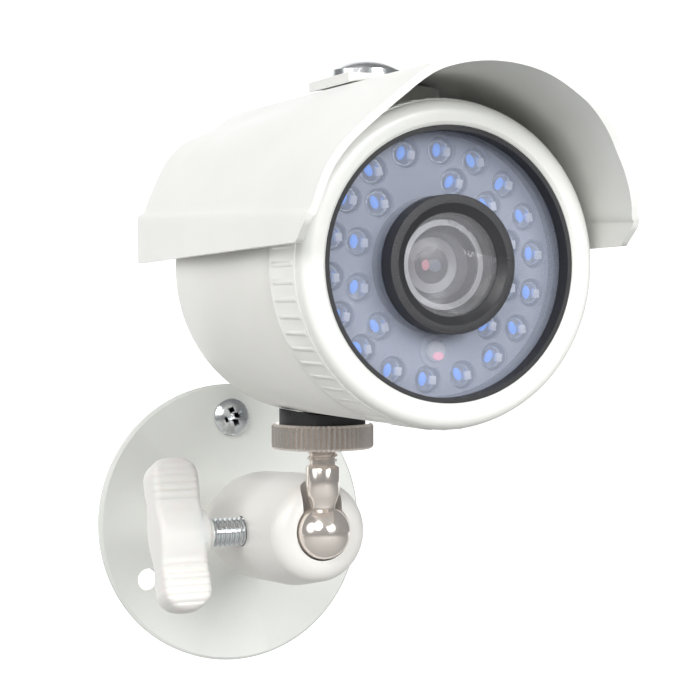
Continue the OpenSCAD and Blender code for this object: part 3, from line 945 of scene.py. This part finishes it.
def makeLed(work, x, y, lean):
    # clear dome, metal cup, blue chip, pale post and the rim of its hole; the chip and post glow faintly as
    # painted glints
    stand = Matrix.Translation((x, y, 0))
    radius, dome = ledPiece["radius"], ledPiece["dome"]
    arc = [(radius * math.cos(a), dome + radius * math.sin(a)) for a in [i * math.pi / 20 for i in range(10)]]
    joined(
        work,
        turned([(0, ledPiece["foot"]), (radius, ledPiece["foot"])] + arc + [(0, dome + radius)], steps=32),
        stand,
        0,
    )
    face = ledPiece["face"]
    rim = turned(
        [
            (radius + 0.12, face),
            (ledPiece["collar"], face),
            (ledPiece["collar"] - 0.1, face + 0.12),
            (radius + 0.16, face + 0.12),
        ],
        steps=40,
        closed=True,
    )
    joined(work, rim, stand, 1)
    cup = turned(
        [(0.7, dome - 1.4), (1.9, dome - 0.1), (2.05, dome - 0.1), (2.05, dome - 1.5)],
        steps=28,
        closed=True,
    )
    joined(work, cup, stand, 2)
    # chip and post: their faint glow is a painted glint
    joined(
        work,
        blob(1.5, 2.5, 0.9),
        stand @ Matrix.Translation((-0.75, 0.1, dome + 0.35)) @ Matrix.Rotation(lean, 4, "Z"),
        3,
    )
    post = bmesh.new()
    bmesh.ops.create_cube(post, size=1)
    bmesh.ops.scale(post, vec=(1.15, 1.5, 0.8), verts=post.verts)
    rounded(post, 0.15)
    joined(
        work,
        post,
        stand @ Matrix.Translation((1.3, -0.15, dome + 0.3)) @ Matrix.Rotation(lean * 0.4, 4, "Z"),
        4,
    )


def makeLedRow(node, about):
    work = bmesh.new()
    for i, degrees in enumerate(about["angles"]):
        angle = math.radians(degrees)
        makeLed(
            work,
            about["radius"] * math.cos(angle),
            about["radius"] * math.sin(angle),
            0.5 * math.sin(i * 2.4),
        )
    return finishPiece(
        about["name"], work, onOptics, [node], [ledResin, ringResin, zinc, ledChipPaintedGlint, ledPostPaintedGlint], angle=40
    )


sensor = {"radius": 1.85, "top": -6.15, "foot": -12.3, "sleeve": 3.0, "at": -15.0}


def makeSensor():
    # light sensor: a pale capsule, pink below, in a clear sleeve; the pink patch glows, which is painted light
    work = bmesh.new()
    stand = Matrix.Translation((0, sensor["at"], 0))
    radius, top = sensor["radius"], sensor["top"]
    joined(
        work,
        turned(
            [
                (0, sensor["foot"]),
                (radius, sensor["foot"]),
                (radius, top - 0.5),
                (radius - 0.4, top - 0.1),
                (0, top),
            ],
            steps=48,
        ),
        stand,
        0,
    )
    sleeve = turned(
        [
            (radius + 0.12, -7.38),
            (sensor["sleeve"], -7.38),
            (sensor["sleeve"] - 0.1, -6.9),
            (radius + 0.16, -6.9),
        ],
        steps=48,
        closed=True,
    )
    joined(work, sleeve, stand, 1)
    # pink patch whose glow is painted light
    joined(work, blob(2.2, 1.5, 0.3, cuts=3), stand @ Matrix.Translation((0.15, -0.85, top - 0.05)), 2)
    return finishPiece(
        "lightSensor", work, onOptics, ["light_sensor"], [sensorResin, ringResin, pinkPaintedGlow], angle=40
    )


lens = {"ring": -4.6, "radius": 5.9, "curve": 15.0, "sag": 4.5}


def makeFrontElement():
    # domed front lens, with a glowing pink blob and a blue blob inside that are painted reflections of the
    # elements behind it
    work = bmesh.new()
    radius, curve = lens["radius"], lens["curve"]
    peak = math.asin(radius / curve)
    crown = [
        (
            curve * math.sin(peak * (1 - i / 16)),
            lens["ring"] - 0.4 - curve + curve * math.cos(peak * (1 - i / 16)),
        )
        for i in range(17)
    ]
    crown[-1] = (0, lens["ring"] - 0.4)
    joined(
        work,
        turned([(0, lens["ring"] - lens["sag"]), (radius, lens["ring"] - lens["sag"])] + crown, steps=72),
        material=0,
    )
    deep = lens["ring"] - lens["sag"] + 0.4
    joined(
        work,
        turned([(3.3, deep), (4.9, deep), (4.9, deep + 0.3), (3.3, deep + 0.2)], steps=64, closed=True),
        material=1,
    )
    # painted reflections: a glowing pink blob and a blue blob
    joined(work, blob(1.5, 1.9, 0.5, cuts=3), Matrix.Translation((-1.9, 0, deep + 1.6)), 2)
    joined(work, blob(2.6, 2.2, 0.5, cuts=3), Matrix.Translation((0.2, -0.1, deep + 1.0)), 3)
    return finishPiece(
        "frontElement",
        work,
        onOptics,
        ["front_element"],
        [lensGlassReflectionVeil, lensRingMetal, pinkPaintedGlow, bluePaintedGlint],
        angle=40,
    )


shroud = {"radius": 12.0, "foot": -12.3, "rim": 10.4, "mouth": 9.0, "cover": 8.95, "head": 8.3}


def makeShroud():
    # rubber ring round the lens: grained face, smooth dark inside
    about = shroud
    outline = [
        (about["head"], about["foot"]), (about["radius"], about["foot"]), (about["radius"], -0.35),
        (about["radius"] - 0.07, -0.17), (about["radius"] - 0.25, -0.1), (about["rim"] + 0.1, -0.1),
        (about["rim"], -0.2), (about["mouth"], -1.1), (about["cover"], -1.25), (about["cover"], -2.7), (
            about["head"], -2.7
        ),
    ]
    work = turned(outline, steps=120, closed=True)
    for face in work.faces:
        middle = face.calc_center_median()
        face.material_index = 1 if math.hypot(middle.x, middle.y) < about["rim"] else 0
    return finishPiece("lensShroud", work, onOptics, ["lens_shroud"], [shroudRubber, blackPlastic], angle=30)


for node, about in ledRows.items():
    makeLedRow(node, about)
makeShroud()
makeSensor()
makeFrontElement()
print("window parts made")

# everything else keeps its shape, with smooth shading, and broken edges on the nodes listed below

replaced = {
    "lens_shroud",
    "outer_leds",
    "inner_leds",
    "light_sensor",
    "front_element",
    "sun_shield",
    "ball_stud",
    "lock_nut",
    "clamp_screw",
    "wing_knob",
    "wall_screw",
    "shield_screw",
}
brokenEdge = {
    "wall_plate": 0.25,
    "bracket_arm": 0.45,
    "front_cap": 0.12,
    "slot_plate": 0.3,
    "shield_rail": 0.25,
    "rear_cover": 0.2,
    "cable_gland": 0.3,
}
for node in nodeFinish:
    if node not in replaced:
        refinedNode(node, brokenEdge.get(node, 0.0))
print("nodes refined")

# camera, light and ground

camera = {
    "lens": 92.6, "place": (-0.1439, -0.3828, 0.0238),
    "yaw": 24.495, "pitch": -1.963, "roll": -1.781,
}


def makeCamera():
    data = bpy.data.cameras.new("studioCamera")
    data.lens = camera["lens"]
    data.sensor_width = 36
    data.clip_start = 0.01
    eye = bpy.data.objects.new("studioCamera", data)
    scene.collection.objects.link(eye)
    turn = (
        Matrix.Rotation(math.radians(-camera["yaw"]), 4, "Z")
        @ Matrix.Rotation(math.radians(-camera["roll"]), 4, "Y")
        @ Matrix.Rotation(math.radians(90 - camera["pitch"]), 4, "X")
    )
    eye.matrix_world = Matrix.Translation(camera["place"]) @ turn
    scene.camera = eye


studioLights = {
    "keyLight": {"place": (-0.85, -0.95, 0.66), "size": 0.8, "power": 10.0, "tint": (1.0, 0.99, 0.975)},
    "sideLight": {"place": (-1.25, -0.35, 0.45), "size": 0.9, "power": 4.0, "tint": (1.0, 1.0, 1.0)},
    "frontLight": {"place": (0.30, -1.25, 0.42), "size": 0.7, "power": 13.0, "tint": (0.99, 0.995, 1.0)},
    "topLight": {"place": (-0.1, 0.1, 1.0), "size": 0.6, "power": 0.7, "tint": (1.0, 1.0, 1.0)},
}


def makeLights():
    aim = (cadBox[0] + cadBox[1]) / 2
    for name, about in studioLights.items():
        data = bpy.data.lights.new(name, "AREA")
        data.shape = "DISK"
        data.size = about["size"]
        data.energy = about["power"]
        data.color = about["tint"]
        lamp = bpy.data.objects.new(name, data)
        scene.collection.objects.link(lamp)
        lamp.location = about["place"]
        lamp.rotation_euler = (aim - Vector(about["place"])).to_track_quat("-Z", "Y").to_euler()
    world = bpy.data.worlds.new("studio")
    scene.world = world
    world.use_nodes = True
    world.node_tree.nodes["Background"].inputs["Color"].default_value = (1.0, 1.0, 1.0, 1)
    world.node_tree.nodes["Background"].inputs["Strength"].default_value = 0.24


def makeGround():
    # pale floor that curves up into a backdrop
    work = bmesh.new()
    chain = [
        work.verts.new((-3, -3, -0.34)),
        work.verts.new((-3, 2.2, -0.34)),
        work.verts.new((-3, 2.9, -0.1)),
        work.verts.new((-3, 3.1, 0.6)),
        work.verts.new((-3, 3.1, 3.5)),
    ]
    edges = [work.edges.new(pair) for pair in zip(chain, chain[1:])]
    swept = bmesh.ops.extrude_edge_only(work, edges=edges)
    bmesh.ops.translate(
        work, vec=(6, 0, 0), verts=[g for g in swept["geom"] if isinstance(g, bmesh.types.BMVert)]
    )
    bmesh.ops.recalc_face_normals(work, faces=work.faces)
    mesh = bpy.data.meshes.new("studioGround")
    work.to_mesh(mesh)
    work.free()
    ground = bpy.data.objects.new("studioGround", mesh)
    scene.collection.objects.link(ground)
    material, tree, shader = newMaterial("palePaper", Roughness=0.9)
    shader.inputs["Emission Color"].default_value = (1, 1, 1, 1)
    where = addNode(tree, "ShaderNodeTexCoord")
    axes = addNode(tree, "ShaderNodeSeparateXYZ", {0: where.outputs["Object"]})
    glow = addNode(
        tree,
        "ShaderNodeMapRange",
        {"Value": axes.outputs["Y"], "From Min": 0.5, "From Max": 1.5, "To Min": 0.0, "To Max": 0.9},
    )
    tree.links.new(glow.outputs["Result"], shader.inputs["Emission Strength"])
    paper = addNode(
        tree, "ShaderNodeTexNoise", {"Vector": where.outputs["Object"], "Scale": 60.0, "Detail": 4.0}
    )
    far = addNode(tree, "ShaderNodeMapRange", {"Value": axes.outputs["Y"], "From Min": 0.3, "From Max": 1.2})
    near = blendColours(tree, paper.outputs["Fac"], (0.50, 0.50, 0.49), (0.54, 0.54, 0.53))
    tree.links.new(
        blendColours(tree, far.outputs["Result"], near, (0.93, 0.93, 0.93)), shader.inputs["Base Color"]
    )
    mesh.materials.append(material)
    smooth = ground.modifiers.new("curve", "SUBSURF")
    smooth.levels = smooth.render_levels = 3


makeCamera()
makeLights()
makeGround()
